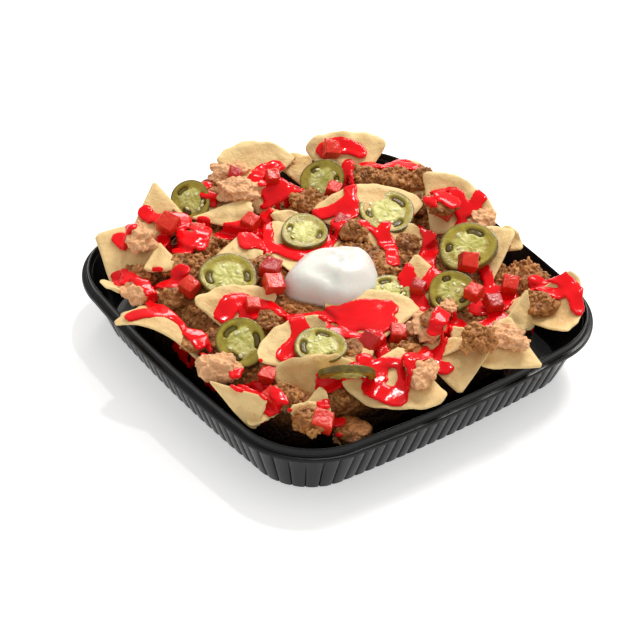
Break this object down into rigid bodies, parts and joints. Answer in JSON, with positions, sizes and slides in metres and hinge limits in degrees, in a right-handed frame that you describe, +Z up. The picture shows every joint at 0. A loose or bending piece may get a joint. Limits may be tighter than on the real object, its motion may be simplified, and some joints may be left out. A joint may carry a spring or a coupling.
{
  "type": "loaded nachos in a tray",
  "caption": "Square black takeaway tray heaped with corn chips, ground beef, mashed beans, red sauce, tomato dice, pickled pepper slices and sour cream.",
  "frame": {"origin": "centre of the tray's flat underside", "axes": "+Z up, X and Y along the tray's sides"},
  "size_m": [0.2428, 0.2371, 0.0665],
  "materials": {
    "tray_plastic": "moulded black, satin gloss",
    "corn_chip": "fried corn tortilla, dry and finely blistered",
    "ground_beef": "browned crumbled beef, moist",
    "mashed_beans": "coarse bean mash, matte",
    "pickled_pepper": "pickled green pepper, wet",
    "tomato": "cut ripe tomato, wet",
    "sour_cream": "soured cream, smooth and soft",
    "red_sauce": "thick red sauce, glossy"
  },
  "bodies": {
    "root": {"beans_back_left": "mashed_beans", "beans_front": "mashed_beans", "beans_front_left": "mashed_beans", "beans_front_right": "mashed_beans", "beans_left": "mashed_beans", "beans_left_low": "mashed_beans", "beans_middle_right": "mashed_beans", "beans_upper_left": "mashed_beans", "chip_back_left": "corn_chip", "chip_back_peak": "corn_chip", "chip_back_right": "corn_chip", "chip_back_shell": "corn_chip", "chip_back_wave": "corn_chip", "chip_centre_curl": "corn_chip", "chip_centre_left": "corn_chip", "chip_centre_sauced": "corn_chip", "chip_centre_wave": "corn_chip", "chip_front_broad": "corn_chip", "chip_front_cup": "corn_chip", "chip_front_flap": "corn_chip", "chip_front_fold": "corn_chip", "chip_front_left_hood": "corn_chip", "chip_front_right_tip": "corn_chip", "chip_left_corner": "corn_chip", "chip_left_overhang": "corn_chip", "chip_left_peak": "corn_chip", "chip_left_shard": "corn_chip", "chip_middle_left": "corn_chip", "chip_middle_right": "corn_chip", "chip_right_bowl": "corn_chip", "chip_right_fin": "corn_chip", "chip_right_fold": "corn_chip", "chip_under_pepper": "corn_chip", "chip_upper_ledge": "corn_chip", "chip_upper_left": "corn_chip", "chip_upper_right": "corn_chip", "chip_upper_sliver": "corn_chip", "heap": "ground_beef", "pepper_back": "pickled_pepper", "pepper_back_right": "pickled_pepper", "pepper_by_cream": "pickled_pepper", "pepper_edge_on": "pickled_pepper", "pepper_front": "pickled_pepper", "pepper_front_left": "pickled_pepper", "pepper_front_right": "pickled_pepper", "pepper_left": "pickled_pepper", "pepper_left_back": "pickled_pepper", "pepper_middle": "pickled_pepper", "pepper_right": "pickled_pepper", "sour_cream": "sour_cream", "tomato_back": "tomato", "tomato_back_right": "tomato", "tomato_cream_lower": "tomato", "tomato_cream_upper": "tomato", "tomato_front": "tomato", "tomato_left": "tomato", "tomato_left_peak": "tomato", "tomato_right": "tomato", "tray": "tray_plastic"}
  },
  "joints": []
}
